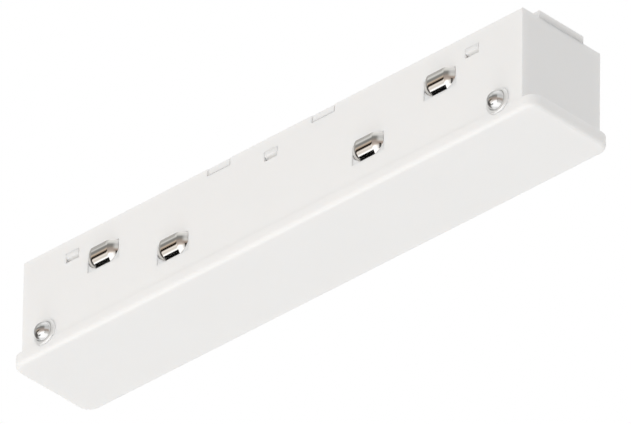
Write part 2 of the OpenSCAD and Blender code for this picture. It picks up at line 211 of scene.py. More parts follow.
@dataclass(frozen=True)
class WorkedMetal:
    """Bare or plated metal: its tone, how bright it is finished, and the fine lines that working leaves.

    Attributes:
        name: Name of the material.
        light: Its lighter tone.
        dark: Its darker tone.
        roughness: Mean roughness.
        lines: Size of the working lines along X, Y and Z.
        relief: Depth of those lines.
        metallic: How much the surface mirrors as bare metal does.
        gloss_spread: How far the roughness strays from its mean, as a share of it.
        bump: Strength of the lines' relief.
    """

    name: str
    light: str
    dark: str
    roughness: float
    lines: Triple
    relief: float
    metallic: float = 1.0
    gloss_spread: float = 0.2
    bump: float = 0.3

    def material(self) -> bpy.types.Material:
        """Build the material.

        Returns:
            The finished material.
        """
        material, tree = new_material(self.name)
        marks = grains(tree, self.lines, detail=3.0)
        tone = add_node(tree, "ShaderNodeMix", {
            "Factor": marks, "A": linear(self.dark), "B": linear(self.light),
        }, data_type="RGBA")
        gloss = add_node(tree, MAP_RANGE, {
            "Value": marks, "To Min": self.roughness * (1 - self.gloss_spread),
            "To Max": self.roughness * (1 + self.gloss_spread),
        })
        bump = add_node(tree, "ShaderNodeBump", {
            "Height": marks, "Strength": self.bump, "Distance": self.relief * MM,
        })
        shader = add_node(tree, "ShaderNodeBsdfPrincipled", {
            "Base Color": tone, "Metallic": self.metallic, "Roughness": gloss, "Normal": bump,
        })
        add_node(tree, "ShaderNodeOutputMaterial", {"Surface": shader})
        return material


# The real mould grain and working lines are finer; they are drawn just coarse enough to show.
# Gloss-moulded polycarbonate: neutral white, satin, edges catch a soft light.
HOUSING_PC = MouldedPlastic("white_polycarbonate", "#F3F2F1", "#F0EFEE",
                            roughness=0.38, ior=1.585, grain=0.5, relief=0.004)
# The same polycarbonate from another mould: a touch greyer.
COVER_PC = MouldedPlastic("cover_polycarbonate", "#F1F0EF", "#EEEDEC",
                          roughness=0.4, ior=1.585, grain=0.5, relief=0.004)
# Glass-filled polyamide: duller and a little warmer than the housing.
HOLDER_PA = MouldedPlastic("holder_polyamide", "#E6E4DF", "#E0DED8",
                           roughness=0.55, ior=1.53, grain=0.3, relief=0.008)
# Nickel-plated phosphor bronze, rolled along X: bright, slightly warm.
CONTACT_NICKEL = WorkedMetal("nickel_plated_bronze", "#E4E2DF", "#DCDAD6",
                             roughness=0.07, lines=(3.0, 0.12, 0.12), relief=0.002)
# Turned and tumbled stainless steel: pale and silky; it mirrors only softly, so it is set less metallic.
SLEEVE_STEEL = WorkedMetal("tumbled_stainless_steel", "#F4F4F3", "#ECECEB",
                           roughness=0.3, lines=(0.2, 0.08, 0.2), relief=0.002, metallic=0.45)
# Polished bearing steel: mirror bright, hardly any mark.
BALL_STEEL = WorkedMetal("polished_bearing_steel", "#DEDEDD", "#D8D8D8",
                         roughness=0.16, lines=(0.6, 0.6, 0.6), relief=0.0005)
# Drawn spring wire: greyer, faint lines.
SPRING_WIRE = WorkedMetal("drawn_spring_wire", "#A9A9AC", "#9C9CA0",
                          roughness=0.25, lines=(0.2, 0.2, 0.2), relief=0.002)
# Rolled copper strip: warm, lines along the strip.
BAR_COPPER = WorkedMetal("rolled_copper_strip", "#DCA183", "#CC8F70",
                         roughness=0.22, lines=(8.0, 0.1, 0.1), relief=0.003)


class Side(Enum):
    """Long side of the connector, as the sign of the direction from outside to inside along Y."""

    FRONT = 1
    BACK = -1

    @classmethod
    def of_plunger(cls, number: int) -> "Side":
        """Say on which side a plunger sits.

        Args:
            number: Number of the plunger.

        Returns:
            The side.
        """
        return cls.FRONT if number in FRONT_PLUNGERS else cls.BACK


@dataclass(frozen=True)
class SoftLamp:
    """Large round lamp that faces the connector, seen neither by the camera nor in the metal.

    Attributes:
        name: Name of the lamp.
        place: Its place in the room.
        size: Its width.
        power: Its power in watts.
        colour: Its colour.
    """

    name: str
    place: Triple
    size: float
    power: float
    colour: str

    def hang(self) -> None:
        """Put the lamp in the scene."""
        data = bpy.data.lights.new(self.name, "AREA")
        data.shape = "DISK"
        data.size = self.size * MM
        data.energy = self.power
        data.color = linear(self.colour)[:3]
        lamp = bpy.data.objects.new(self.name, data)
        place = Vector(self.place)
        turn = place.to_track_quat("Z", "Y").to_matrix().to_4x4()
        lamp.matrix_world = Matrix.Translation(place * MM) @ turn
        lamp.visible_camera = False
        lamp.visible_glossy = False
        bpy.context.scene.collection.objects.link(lamp)


# One lamp before the contact side and one under the flange.
LAMPS = (
    SoftLamp("side_lamp", (-500.0, -1300.0, -250.0), 900.0, 4.7, "#FFFAF4"),
    SoftLamp("flange_lamp", (-100.0, -350.0, -1350.0), 900.0, 4.4, "#FBFBFF"),
)


@dataclass
class Studio:
    """Camera, light and floor.

    Attributes:
        azimuth: Turn of the camera about Z.
        elevation: Its angle over the horizon; negative where it looks up.
        roll: Its turn about its own axis.
        lens: Its focal length.
        sensor: Width of its sensor.
        frame_width: Width of the picture at the connector.
        view_range: How far it sees.
        aim_height: Height in the connector of the point that its aim is measured from.
        aim_right: How far to the right of that point it aims.
        aim_up: How far above that point it aims.
        fill: Strength of the light from all round.
        floor_depth: How far the floor lies below.
        floor_radius: Radius of the floor.
        floor_sides: Number of its sides.
        floor_tone: Its colour.
    """

    azimuth: float = 43.928
    elevation: float = -33.231
    roll: float = 0.82
    lens: float = 1150.0
    sensor: float = 36.0
    frame_width: float = 111.1
    view_range: float = 50000.0
    aim_height: float = 2.5
    aim_right: float = 1.24
    aim_up: float = 6.46
    fill: float = 0.78
    floor_depth: float = 8000.0
    floor_radius: float = 30000.0
    floor_sides: int = 64
    floor_tone: str = "#F2F2F0"

    def build(self) -> None:
        """Set up the whole studio."""
        self.camera()
        self.world()
        self.floor()
        for lamp in LAMPS:
            lamp.hang()

    def axes(self) -> tuple[Vector, Vector, Vector]:
        """Work out the camera's directions.

        Returns:
            Its right, up and viewing directions.
        """
        turn, tilt, roll = (math.radians(angle) for angle in (self.azimuth, self.elevation, self.roll))
        right = Vector((math.cos(turn), math.sin(turn), 0))
        ahead = Vector((-math.sin(turn), math.cos(turn), 0))
        view = math.cos(tilt) * ahead - math.sin(tilt) * Vector((0, 0, 1))
        up = right.cross(view)
        return (math.cos(roll) * right + math.sin(roll) * up,
                math.cos(roll) * up - math.sin(roll) * right, view)

    def camera(self) -> None:
        """Place the camera where the photograph was taken from."""
        right, up, view = self.axes()
        aim = Vector((0, 0, self.aim_height)) + self.aim_right * right + self.aim_up * up
        distance = self.lens * self.frame_width / self.sensor
        data = bpy.data.cameras.new("camera")
        data.lens = self.lens
        data.sensor_width = self.sensor
        data.clip_end = self.view_range * MM
        camera = bpy.data.objects.new("camera", data)
        turn = Matrix((right, up, -view)).transposed()
        camera.matrix_world = Matrix.Translation((aim - distance * view) * MM) @ turn.to_4x4()
        bpy.context.scene.collection.objects.link(camera)
        bpy.context.scene.camera = camera
        bpy.context.scene.view_settings.view_transform = "Standard"

    def world(self) -> None:
        """Light the object softly from all round, in front of a background that is seen as white."""
        world = bpy.data.worlds.new("white_room")
        world.use_nodes = True
        tree = world.node_tree
        tree.nodes.clear()
        path = add_node(tree, "ShaderNodeLightPath")
        mirrored = add_node(tree, MATHS, {
            0: path.outputs["Is Camera Ray"], 1: path.outputs["Is Glossy Ray"]}, operation="MAXIMUM")
        seen = add_node(tree, MATHS, {
            0: mirrored, 1: path.outputs["Is Transmission Ray"]}, operation="MAXIMUM")
        strength = add_node(tree, MAP_RANGE, {"Value": seen, "To Min": self.fill, "To Max": 1.0})
        background = add_node(tree, "ShaderNodeBackground", {"Color": linear(WHITE), "Strength": strength})
        add_node(tree, "ShaderNodeOutputWorld", {"Surface": background})
        bpy.context.scene.world = world

    def floor(self) -> None:
        """Lay a plain pale floor well below, because the camera looks up at the connector."""
        material, tree = new_material("pale_floor")
        path = add_node(tree, "ShaderNodeLightPath")
        paint = add_node(tree, "ShaderNodeBsdfDiffuse", {"Color": linear(self.floor_tone)})
        glow = add_node(tree, "ShaderNodeEmission", {"Color": linear(WHITE), "Strength": 1.0})
        seen = add_node(tree, MATHS, {
            0: path.outputs["Is Camera Ray"], 1: path.outputs["Is Glossy Ray"]}, operation="MAXIMUM")
        mixed = add_node(tree, "ShaderNodeMixShader", {0: seen, 1: paint, 2: glow})
        add_node(tree, "ShaderNodeOutputMaterial", {"Surface": mixed})
        bpy.ops.mesh.primitive_circle_add(vertices=self.floor_sides, radius=self.floor_radius * MM,
                                          fill_type="NGON", location=(0, 0, -self.floor_depth * MM))
        floor = bpy.context.object
        floor.name = "floor"
        floor.data.materials.append(material)


# Tones of the room by elevation, before the contact side: bright low panels, a dark horizon, a grey stretch
# above it, a pale ceiling and a bright panel overhead.
CONTACT_TONES: Tones = (
    (-90.0, "#F6F6F6"), (-27.0, "#FFFFFF"), (-23.0, "#DCD8D4"), (-18.0, "#CAC4BE"), (-13.5, "#ECE4DE"),
    (-10.0, "#FFFBF6"), (-7.5, "#E6DCD2"), (-5.0, "#8C8078"), (-2.5, "#1A120E"), (-1.0, "#060403"),
    (2.5, "#060403"), (5.0, "#524840"), (7.5, "#A2917F"), (12.0, "#D2C0AE"), (16.0, "#B4AAA0"),
    (19.0, "#969390"), (23.0, "#848481"), (28.0, "#888886"), (31.0, "#9C9C9A"), (34.0, "#C8C8C6"),
    (38.0, "#DEDEDC"), (44.0, "#DEDEDC"), (50.0, "#D2D2D0"), (65.0, "#D4D4D2"), (70.0, "#FFFFFF"),
    (90.0, "#FFFFFF"),
)
# Further right the horizon is only brown-grey, and the grey stretch is a little darker.
FRONT_TONES: Tones = (
    (-90.0, "#F6F6F6"), (-26.0, "#FFFFFF"), (-20.0, "#D2C8C0"), (-13.0, "#BCB0A8"), (-7.0, "#BAAEA6"),
    (-2.0, "#ACA098"), (8.0, "#AA9E96"), (13.0, "#989088"), (20.0, "#8E8A86"), (30.0, "#848482"),
    (36.0, "#949492"), (41.0, "#BCBCBA"), (46.0, "#D2D2D0"), (52.0, "#E8E8E6"), (65.0, "#E8E8E6"),
    (70.0, "#FFFFFF"), (90.0, "#FFFFFF"),
)
# Past the right end of the connector it is pale from the horizon up.
RIGHT_TONES: Tones = (
    (-90.0, "#F6F6F6"), (-47.0, "#F2F2F0"), (-41.0, "#C4C2C0"), (-20.0, "#B4B0AC"), (-13.0, "#B0A49C"),
    (-8.0, "#A4948A"), (-3.0, "#A89A90"), (2.0, "#C0B6AE"), (6.0, "#CECAC6"), (12.0, "#D8D8D6"),
    (19.0, "#D8D8D6"), (27.0, "#CCCCCC"), (40.0, "#D2D2D2"), (48.0, "#E4E4E4"), (65.0, "#E4E4E4"),
    (70.0, "#FFFFFF"), (90.0, "#FFFFFF"),
)
# To the left stands a tall black board, up to just over the horizon.
LEFT_TONES: Tones = (
    (-90.0, "#F6F6F6"), (-35.0, "#F6F6F6"), (-31.0, "#161412"), (5.0, "#161412"), (12.0, "#A8A6A3"),
    (90.0, "#C6C6C4"),
)
# Next to it, further round, the board is grey and its lower edge is soft.
EDGE_TONES: Tones = (
    (-90.0, "#F6F6F6"), (-40.0, "#F6F6F6"), (-30.0, "#BEBCBA"), (-23.0, "#8E8C8A"), (-15.0, "#605E5C"),
    (5.0, "#605E5C"), (12.0, "#A8A6A3"), (90.0, "#C6C6C4"),
)
# Behind the left end it is bright all the way up.
BACK_TONES: Tones = ((-90.0, "#F6F6F6"), (90.0, "#F2F2F0"))
# The turns between which each further set of tones fades in over the ones before it.
SECTORS = (
    (-112.0, -98.0, FRONT_TONES), (-53.0, -46.5, RIGHT_TONES), (-138.0, -144.0, LEFT_TONES),
    (-151.0, -158.0, EDGE_TONES), (-194.0, -202.0, BACK_TONES),
)


@dataclass(frozen=True)
class DarkStrip:
    """Dark strip in the room. Each fade goes from where nothing of it shows to where all of it does.

    Attributes:
        left: Turns of the fade at its left end.
        right: Turns of the fade at its right end.
        edge: Distances from its middle line of the fades above and below it.
        start: Turn and elevation up to which its middle line is level.
        end: Turn and elevation from which its middle line is level again.
    """

    left: Pair
    right: Pair
    edge: Pair
    start: Pair
    end: Pair

    def share(self, tree: bpy.types.NodeTree, turn: bpy.types.Node, height: bpy.types.Node) -> bpy.types.Node:
        """Work out how much of the strip shows in a direction.

        Args:
            tree: Node tree that gets the nodes.
            turn: Node with the direction's turn.
            height: Node with its elevation.

        Returns:
            The node with the share.
        """
        middle = add_node(tree, MAP_RANGE, {
            "Value": turn, "From Min": self.start[0], "From Max": self.end[0],
            "To Min": self.start[1], "To Max": self.end[1],
        })
        above = add_node(tree, MATHS, {0: height, 1: middle}, operation="SUBTRACT")
        off = add_node(tree, MATHS, {0: above}, operation="ABSOLUTE")
        share: bpy.types.Node | float = 1.0
        for value, (nothing, full) in ((off, self.edge), (turn, self.left), (turn, self.right)):
            fade = add_node(tree, MAP_RANGE, {"Value": value, "From Min": nothing, "From Max": full})
            share = add_node(tree, MATHS, {0: share, 1: fade}, operation="MULTIPLY")
        return share


# A black board that hangs low before the left half of the contact side and slopes down to its right.
LOW_BOARD = DarkStrip(left=(-143.5, -141.0), right=(-110.0, -120.0), edge=(5.8, 4.8),
                      start=(-134.0, -36.5), end=(-115.0, -43.0))
# A black post past the right end of the connector.
POST = DarkStrip(left=(-47.4, -46.2), right=(-42.6, -43.8), edge=(18.0, 15.0),
                 start=(-46.2, -26.0), end=(-43.8, -26.0))


@dataclass
class Surround:
    """Bright and dark parts of the studio round the metal, seen only in reflections.

    Turns are counted from +X towards +Y, with what lies behind the connector below -180, and elevations from
    the horizon up.

    Attributes:
        radius: Radius of the dome that shows them.
        segments: Faces round the dome.
        behind: Turn past which a direction is counted from the other side.
        black: Colour of the dark strips.
        glow: Strength of the dome.
        low_glow: Its strength low down and round to the front.
        low_levels: Elevations between which that takes over.
        low_turns: Turns between which it takes over.
    """

    radius: float = 2000.0
    segments: int = 64
    behind: float = 90.0
    black: str = "#080808"
    glow: float = 1.15
    low_glow: float = 1.5
    low_levels: Pair = (-13.0, -19.0)
    low_turns: Pair = (-165.0, -150.0)

    def build(self) -> None:
        """Put up the dome and hide it from all light but mirrored light."""
        bpy.ops.mesh.primitive_uv_sphere_add(
            segments=self.segments, ring_count=self.segments // 2, radius=self.radius * MM)
        dome = bpy.context.object
        dome.name = "studio_surround"
        dome.data.materials.append(self.material())
        for ray in ("camera", "diffuse", "shadow", "transmission", "volume_scatter"):
            setattr(dome, f"visible_{ray}", False)

    def material(self) -> bpy.types.Material:
        """Build the glow of the dome.

        Returns:
            The material.
        """
        material, tree = new_material("studio_surround")
        turn, height = self.direction(tree)
        room = self.tones(tree, height, CONTACT_TONES)
        for nothing, full, tones in SECTORS:
            share = add_node(tree, MAP_RANGE, {"Value": turn, "From Min": nothing, "From Max": full})
            room = add_node(tree, "ShaderNodeMix", {
                "Factor": share, "A": room, "B": self.tones(tree, height, tones)}, data_type="RGBA")
        dark = add_node(tree, MATHS, {
            0: LOW_BOARD.share(tree, turn, height), 1: POST.share(tree, turn, height)}, operation="MAXIMUM")
        path = add_node(tree, "ShaderNodeLightPath")
        plain = add_node(tree, MATHS, {0: path.outputs["Diffuse Depth"], 1: 1.0}, operation="MINIMUM")
        for share, colour in ((dark, self.black), (plain, WHITE)):
            room = add_node(tree, "ShaderNodeMix", {
                "Factor": share, "A": room, "B": linear(colour)}, data_type="RGBA")
        strength = self.strength(tree, turn, height)
        glow = add_node(tree, "ShaderNodeEmission", {"Color": room, "Strength": strength})
        add_node(tree, "ShaderNodeOutputMaterial", {"Surface": glow})
        material.cycles.emission_sampling = "NONE"
        return material

    def direction(self, tree: bpy.types.NodeTree) -> tuple[bpy.types.Node, bpy.types.Node]:
        """Work out in which direction a point of the dome lies.

        Args:
            tree: Node tree that gets the nodes.

        Returns:
            The nodes with its turn and its elevation.
        """
        place = add_node(tree, "ShaderNodeTexCoord")
        unit = add_node(tree, "ShaderNodeVectorMath", {0: place.outputs["Object"]}, operation="NORMALIZE")
        parts = add_node(tree, "ShaderNodeSeparateXYZ", {0: unit})
        rise = add_node(tree, MATHS, {0: parts.outputs["Z"]}, operation="ARCSINE")
        height = add_node(tree, MATHS, {0: rise}, operation="DEGREES")
        swing = add_node(tree, MATHS, {0: parts.outputs["Y"], 1: parts.outputs["X"]}, operation="ARCTAN2")
        turned = add_node(tree, MATHS, {0: swing}, operation="DEGREES")
        past = add_node(tree, MATHS, {0: turned, 1: self.behind}, operation="GREATER_THAN")
        back = add_node(tree, MATHS, {0: past, 1: 360.0}, operation="MULTIPLY")
        turn = add_node(tree, MATHS, {0: turned, 1: back}, operation="SUBTRACT")
        return turn, height

    def strength(self, tree: bpy.types.NodeTree, turn: bpy.types.Node,
                 height: bpy.types.Node) -> bpy.types.Node:
        """Work out how strongly the dome glows in a direction.

        Args:
            tree: Node tree that gets the nodes.
            turn: Node with the direction's turn.
            height: Node with its elevation.

        Returns:
            The node with the strength.
        """
        down = add_node(tree, MAP_RANGE, {
            "Value": height, "From Min": self.low_levels[0], "From Max": self.low_levels[1]})
        before = add_node(tree, MAP_RANGE, {
            "Value": turn, "From Min": self.low_turns[0], "From Max": self.low_turns[1]})
        low = add_node(tree, MATHS, {0: down, 1: before}, operation="MULTIPLY")
        return add_node(tree, MAP_RANGE, {"Value": low, "To Min": self.glow, "To Max": self.low_glow})

    @staticmethod
    def tones(tree: bpy.types.NodeTree, height: bpy.types.Node, tones: Tones) -> bpy.types.NodeSocket:
        """Turn the elevation into a tone.

        Args:
            tree: Node tree that gets the nodes.
            height: Node with the elevation.
            tones: Elevation and colour of each stop, from the lowest up.

        Returns:
            The socket with the colour.
        """
        lowest, highest = -90.0, 90.0
        place = add_node(tree, MAP_RANGE, {"Value": height, "From Min": lowest, "From Max": highest})
        ramp = add_node(tree, "ShaderNodeValToRGB", {"Fac": place})
        stops = ramp.color_ramp.elements
        while len(stops) > 1:
            stops.remove(stops[-1])
        for elevation, colour in tones:
            position = (elevation - lowest) / (highest - lowest)
            stop = stops[0] if elevation == lowest else stops.new(position)
            stop.position = position
            stop.color = linear(colour)
        return ramp.outputs["Color"]


def add_piece(name: str, mesh: bpy.types.Mesh, material: bpy.types.Material, node: str,
              body: str = "body") -> bpy.types.Object:
    """Put a finished mesh in the scene in place of a frame node.

    Args:
        name: Name of the new object.
        mesh: Its mesh, in the frame's coordinates.
        material: Its finish.
        node: Frame node that it stands for.
        body: Body that it moves with.

    Returns:
        The new object.
    """
    mesh.materials.clear()
    mesh.materials.append(material)
    piece = bpy.data.objects.new(name, mesh)
    bpy.context.scene.collection.objects.link(piece)
    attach(piece, body)
    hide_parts(node)
    LOG.info("%s: %d faces, %s", name, len(mesh.polygons), material.name)
    return piece


def smooth_mesh(work: bmesh.types.BMesh, name: str, sharp_angle: float = 35.0) -> bpy.types.Mesh:
    """Turn worked faces into a smooth-shaded mesh with its sharp edges kept.

    Args:
        work: The faces; they are freed.
        name: Name of the mesh.
        sharp_angle: Least angle of a sharp edge.

    Returns:
        The mesh.
    """
    mesh = bpy.data.meshes.new(name)
    work.to_mesh(mesh)
    work.free()
    mesh.shade_smooth()
    mesh.set_sharp_from_angle(angle=math.radians(sharp_angle))
    return mesh


def even_normals(mesh: bpy.types.Mesh, name: str, weight: int = 90) -> bpy.types.Mesh:
    """Let large flat faces keep their own direction, so that only the rounded edges turn smoothly.

    Args:
        mesh: Smooth-shaded mesh with its sharp edges marked.
        name: Name of the result.
        weight: How far large faces come before small ones, from 50 for not at all to 100.

    Returns:
        A new mesh with weighted normals.
    """
    holder = bpy.data.objects.new(name, mesh)
    bpy.context.scene.collection.objects.link(holder)
    modifier = holder.modifiers.new("even", "WEIGHTED_NORMAL")
    modifier.keep_sharp = True
    modifier.weight = weight
    graph = bpy.context.evaluated_depsgraph_get()
    result = bpy.data.meshes.new_from_object(holder.evaluated_get(graph), depsgraph=graph)
    result.name = name
    bpy.data.objects.remove(holder)
    return result


@dataclass
class SoftEdges:
    """Rounds the outer edges of a moulding a little, as a mould leaves them.

    Attributes:
        radius: Radius of the edges.
        steps: Faces across each edge.
        sharp_angle: Least angle of an edge that is rounded.
        merge: Distance below which two corners are one.
        flat_angle: Angle below which two faces are one.
    """

    radius: float
    steps: int = 2
    sharp_angle: float = 30.0
    merge: float = 0.002
    flat_angle: float = 0.2

    def mesh(self, node: str, wanted: Callable[[Vector, Vector], bool]) -> bpy.types.Mesh:
        """Copy a frame node's mesh and round its edges.

        Args:
            node: Name of the frame node.
            wanted: Says from an edge's ends, in millimetres, whether it is rounded.

        Returns:
            The new mesh, in the frame's coordinates.
        """
        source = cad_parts[node]
        work = bmesh.new()
        work.from_mesh(source.data)
        work.transform(source.matrix_world)
        bmesh.ops.remove_doubles(work, verts=work.verts, dist=self.merge * MM)
        bmesh.ops.dissolve_limit(work, angle_limit=math.radians(self.flat_angle), verts=work.verts,
                                 edges=work.edges)
        limit = math.radians(self.sharp_angle)
        edges = [edge for edge in work.edges
                 if edge.is_manifold and edge.calc_face_angle_signed() > limit
                 and wanted(edge.verts[0].co / MM, edge.verts[1].co / MM)]
        bmesh.ops.bevel(work, geom=edges, offset=self.radius * MM, offset_type="OFFSET", segments=self.steps,
                        profile=0.5, affect="EDGES", clamp_overlap=False)
        return even_normals(smooth_mesh(work, f"{node}_worked", self.sharp_angle), f"{node}_dressed")


@dataclass
class Shell:
    """The moulded housing and its snap-in cover.

    Attributes:
        half_length: Distance of the end faces from the middle.
        half_width: Distance of the side faces from the middle.
        flange_top: Height of the flange's upper face.
        rim: Height of the housing's rim.
        near: Distance within which an edge counts as lying on a face.
        plunger_x: Distance of the plungers from the middle.
        plunger_clear: Width and height of the room that stays sharp round each plunger.
        housing_edge: Radius of the housing's edges.
        cover_edge: Radius of the cover's edges.
    """

    half_length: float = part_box("top_cover")[1][0] / MM
    half_width: float = 10.0
    flange_top: float = 2.5
    rim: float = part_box("housing")[1][2] / MM
    near: float = 0.02
    plunger_x: float = sum(corner[0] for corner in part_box("plunger_sleeve_2")) / 2 / MM
    plunger_clear: float = 4.5
    housing_edge: float = 0.12
    cover_edge: float = 0.15

    def dress(self) -> None:
        """Round the edges of both mouldings and give them their plastic."""
        housing = SoftEdges(self.housing_edge).mesh("housing", self.housing_edges)
        add_piece("housing_moulding", housing, HOUSING_PC.material(), "housing")
        cover = SoftEdges(self.cover_edge).mesh("top_cover", self.cover_edges)
        add_piece("cover_moulding", cover, COVER_PC.material(), "top_cover")

    def housing_edges(self, first: Vector, last: Vector) -> bool:
        """Say whether an edge of the housing is rounded.

        Args:
            first: One end of the edge.
            last: Its other end.

        Returns:
            True for the outer edges above the flange, away from the plungers.
        """
        ends = (first, last)
        outside = all(abs(end.y) > self.half_width - self.near or abs(end.x) > self.half_length - self.near
                      or end.z > self.rim - self.near for end in ends)
        above = max(end.z for end in ends) > self.flange_top + self.near
        clear = all(abs(abs(end.x) - self.plunger_x) > self.plunger_clear / 2
                    or end.z > self.flange_top + self.plunger_clear for end in ends)
        return outside and above and clear and not self.under_rib(first, last)

    def cover_edges(self, first: Vector, last: Vector) -> bool:
        """Say whether an edge of the cover is rounded.

        Args:
            first: One end of the edge.
            last: Its other end.

        Returns:
            True for the edges of the rib and of the tabs' outer faces.
        """
        return min(first.z, last.z) > self.rim - self.near and not self.under_rib(first, last)

    def under_rib(self, first: Vector, last: Vector) -> bool:
        """Say whether an edge lies where the rib's end meets the end wall.

        Args:
            first: One end of the edge.
            last: Its other end.

        Returns:
            True for an edge along the rim of an end face.
        """
        return all(abs(end.x) > self.half_length - self.near and abs(end.z - self.rim) < self.near
                   for end in (first, last))


@dataclass
class CoilSpring:
    """Compression spring wound from round wire, with closed ends, made by a Geometry Nodes tree.

    Attributes:
        wire: Width of the wire.
        turns: Turns between its closed ends.
        closed_turns: Turns of each closed end.
        points_per_turn: Points along the wire for each turn.
        wire_points: Points round the wire.
    """

    wire: float
    turns: float
    closed_turns: float = 0.6
    points_per_turn: int = 40
    wire_points: int = 14

    def tree(self, material: bpy.types.Material) -> bpy.types.NodeTree:
        """Build the tree that winds the wire along +Y from the origin.

        Args:
            material: Finish of the wire.

        Returns:
            The node tree, with its sizes as named inputs.
        """
        tree = bpy.data.node_groups.new("coil_spring", "GeometryNodeTree")
        for name in ("Diameter", "Wire", "Length", "Turns", "Closed turns"):
            tree.interface.new_socket(name, in_out="INPUT", socket_type="NodeSocketFloat")
        tree.interface.new_socket("Geometry", in_out="OUTPUT", socket_type="NodeSocketGeometry")
        given = add_node(tree, "NodeGroupInput").outputs
        count = round((self.turns + 2 * self.closed_turns) * self.points_per_turn)
        line = add_node(tree, "GeometryNodeCurvePrimitiveLine", {"End": (0.0, 1.0, 0.0)})
        path = add_node(tree, "GeometryNodeResampleCurve", {"Curve": line, "Count": count})
        along = add_node(tree, "GeometryNodeSplineParameter").outputs["Factor"]
        across = add_node(tree, MATHS, {0: given["Diameter"], 1: given["Wire"]}, operation="SUBTRACT")
        mean = add_node(tree, MATHS, {0: across, 1: 0.5}, operation="MULTIPLY")
        ends = add_node(tree, MATHS, {0: given["Closed turns"], 1: 2.0}, operation="MULTIPLY")
        total = add_node(tree, MATHS, {0: given["Turns"], 1: ends}, operation="ADD")
        wound = add_node(tree, MATHS, {0: along, 1: total}, operation="MULTIPLY")
        past_end = add_node(tree, MATHS, {0: wound, 1: given["Closed turns"]}, operation="SUBTRACT")
        share = add_node(tree, MATHS, {0: past_end, 1: given["Turns"]}, operation="DIVIDE")
        inner = add_node(tree, "ShaderNodeClamp", {"Value": share})
        gain = add_node(tree, MATHS, {0: given["Length"], 1: given["Wire"]}, operation="SUBTRACT")
        climb = add_node(tree, MATHS, {0: inner, 1: gain}, operation="MULTIPLY")
        half_wire = add_node(tree, MATHS, {0: given["Wire"], 1: 0.5}, operation="MULTIPLY")
        height = add_node(tree, MATHS, {0: climb, 1: half_wire}, operation="ADD")
        angle = add_node(tree, MATHS, {0: wound, 1: math.tau}, operation="MULTIPLY")
        place = add_node(tree, "ShaderNodeCombineXYZ", {"Y": height})
        for axis, operation in (("X", "COSINE"), ("Z", "SINE")):
            swing = add_node(tree, MATHS, {0: angle}, operation=operation)
            offset = add_node(tree, MATHS, {0: mean, 1: swing}, operation="MULTIPLY")
            tree.links.new(offset.outputs["Value"], place.inputs[axis])
        coil = add_node(tree, "GeometryNodeSetPosition", {"Geometry": path, "Position": place})
        section = add_node(tree, "GeometryNodeCurvePrimitiveCircle", {
            "Resolution": self.wire_points, "Radius": half_wire})
        skin = add_node(tree, "GeometryNodeCurveToMesh", {
            "Curve": coil, "Profile Curve": section, "Fill Caps": True})
        real = add_node(tree, "GeometryNodeRealizeInstances", {"Geometry": skin})
        painted = add_node(tree, "GeometryNodeSetMaterial", {"Geometry": real, "Material": material})
        add_node(tree, "NodeGroupOutput", {"Geometry": painted})
        return tree

    def mesh(self, name: str, node: str, material: bpy.types.Material) -> bpy.types.Mesh:
        """Wind the spring that fills a frame node's box.

        Args:
            name: Name of the mesh.
            node: Frame node of the spring.
            material: Finish of the wire.

        Returns:
            The finished mesh, in the frame's coordinates.
        """
        low, high = (Vector(corner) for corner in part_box(node))
        tree = self.tree(material)
        holder = bpy.data.objects.new(name, bpy.data.meshes.new(name))
        bpy.context.scene.collection.objects.link(holder)
        modifier = holder.modifiers.new("coil", "NODES")
        modifier.node_group = tree
        values = {"Diameter": high.x - low.x, "Wire": self.wire * MM, "Length": high.y - low.y,
                  "Turns": self.turns, "Closed turns": self.closed_turns}
        for item in tree.interface.items_tree:
            if item.in_out == "INPUT":
                modifier[item.identifier] = float(values[item.name])
        graph = bpy.context.evaluated_depsgraph_get()
        mesh = bpy.data.meshes.new_from_object(holder.evaluated_get(graph), depsgraph=graph)
        holder.modifiers.clear()
        bpy.data.objects.remove(holder)
        mesh.transform(Matrix.Translation(((low.x + high.x) / 2, low.y, (low.z + high.z) / 2)))
        mesh.shade_smooth()
        mesh.name = name
        return mesh


@dataclass
class Inside:
    """Holders, conductor bars and springs behind the walls."""

    contact_spring: CoilSpring = field(default_factory=lambda: CoilSpring(wire=0.3, turns=5.0))
    ball_spring: CoilSpring = field(default_factory=lambda: CoilSpring(wire=0.35, turns=4.0))

    def dress(self) -> None:
        """Give the inner pieces their finishes and wind the springs."""
        holder = HOLDER_PA.material()
        wire = SPRING_WIRE.material()
        copper = BAR_COPPER.material()
        for number in NUMBERS:
            paint(f"contact_holder_{number}", holder)
            self.wind(self.contact_spring, f"contact_spring_{number}", f"contact_press_{number}",
                      Side.FRONT, wire)
            self.wind(self.ball_spring, f"plunger_spring_{number}", f"ball_press_{number}",
                      Side.of_plunger(number), wire)
        paint("upper_busbar", copper)
        paint("lower_busbar", copper)

    @staticmethod
    def wind(spring: CoilSpring, node: str, joint: str, side: Side, material: bpy.types.Material) -> None:
        """Put a wound spring in place of a frame node.

        Args:
            spring: The spring.
            node: Frame node that it stands for.
            joint: Joint that presses the spring; not used.
            side: Side of the connector that the spring pushes towards; not used.
            material: Finish of the wire.
        """
        piece = add_piece(f"{node}_wound", spring.mesh(f"{node}_wound", node, material), material, node)
        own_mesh(piece)


